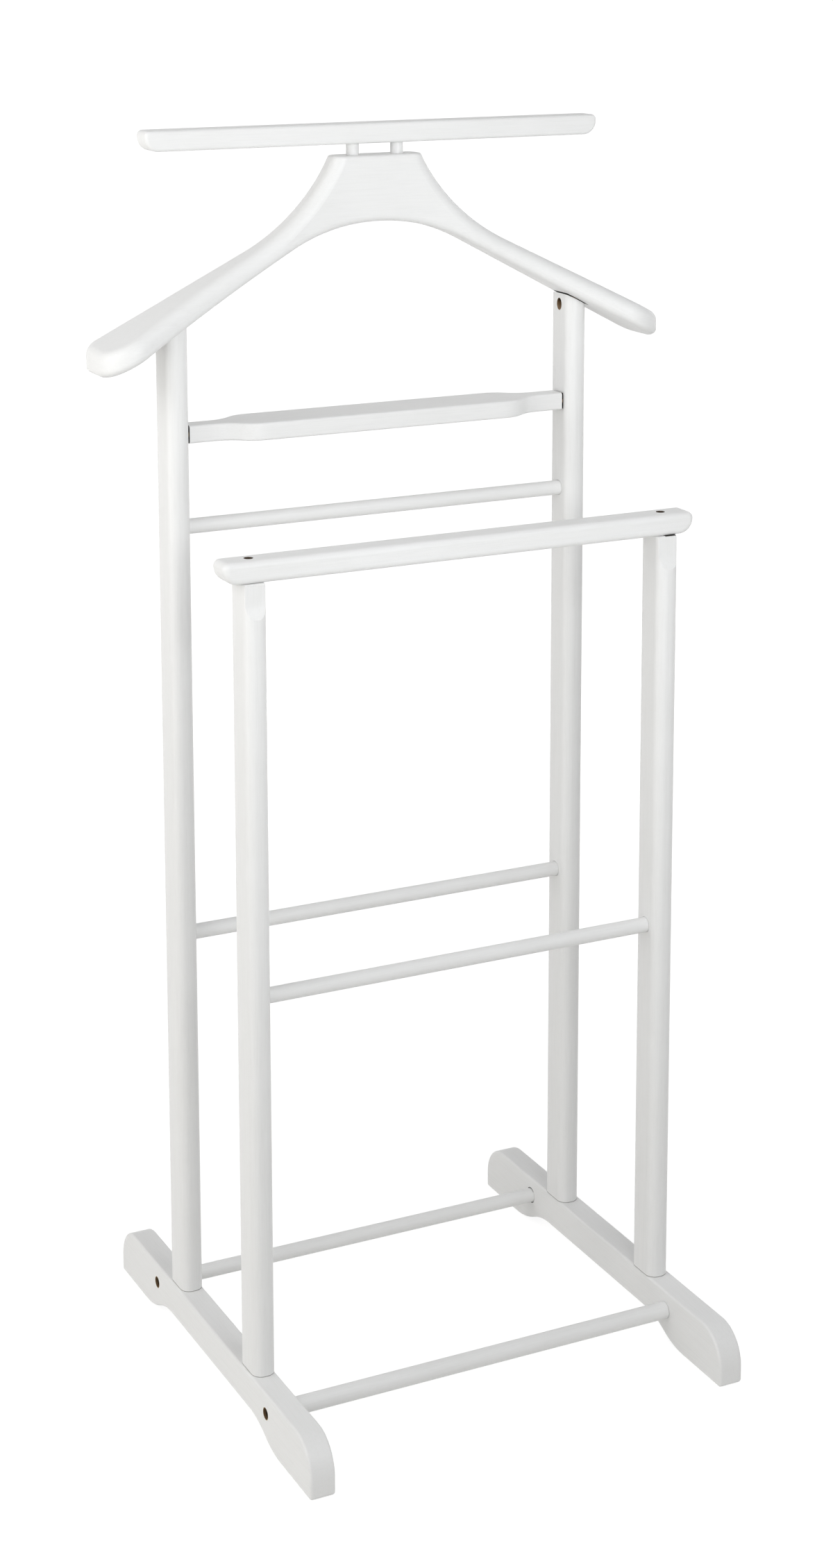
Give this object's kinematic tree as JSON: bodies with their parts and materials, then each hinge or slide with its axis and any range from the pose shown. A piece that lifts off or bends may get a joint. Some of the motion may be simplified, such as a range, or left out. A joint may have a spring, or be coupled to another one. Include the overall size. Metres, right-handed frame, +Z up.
{
  "type": "valet stand",
  "caption": "Free-standing painted wood valet stand: shaped coat hanger with a slim bar above it, narrow tray, trouser bar, rails and arched feet.",
  "frame": {"origin": "on the floor, midway between the feet", "axes": "+Z up, +X to the right and -Y to the front, where the trouser bar is"},
  "size_m": [0.48, 0.388, 0.97],
  "materials": {
    "white_paint": "satin white paint over fine-grained wood",
    "bare_wood": "plain fluted-dowel wood, unpainted",
    "dark_steel": "blackened steel",
    "zinc": "zinc plated"
  },
  "bodies": {
    "root": {"base_rail_bolts": "dark_steel", "coat_hanger": "white_paint", "foot_bolts": "zinc", "foot_dowels": "bare_wood", "front_base_rail": "white_paint", "front_rail": "white_paint", "hanger_dowels": "bare_wood", "hanger_screws": "dark_steel", "left_bar_peg": "white_paint", "left_foot": "white_paint", "left_front_upright": "white_paint", "left_rear_upright": "white_paint", "lower_rear_rail": "white_paint", "rear_base_rail": "white_paint", "right_bar_peg": "white_paint", "right_foot": "white_paint", "right_front_upright": "white_paint", "right_rear_upright": "white_paint", "top_bar": "white_paint", "tray_dowels": "bare_wood", "trouser_bar": "white_paint", "trouser_bar_screws": "dark_steel", "upper_rear_rail": "white_paint", "valet_tray": "white_paint"}
  },
  "joints": []
}
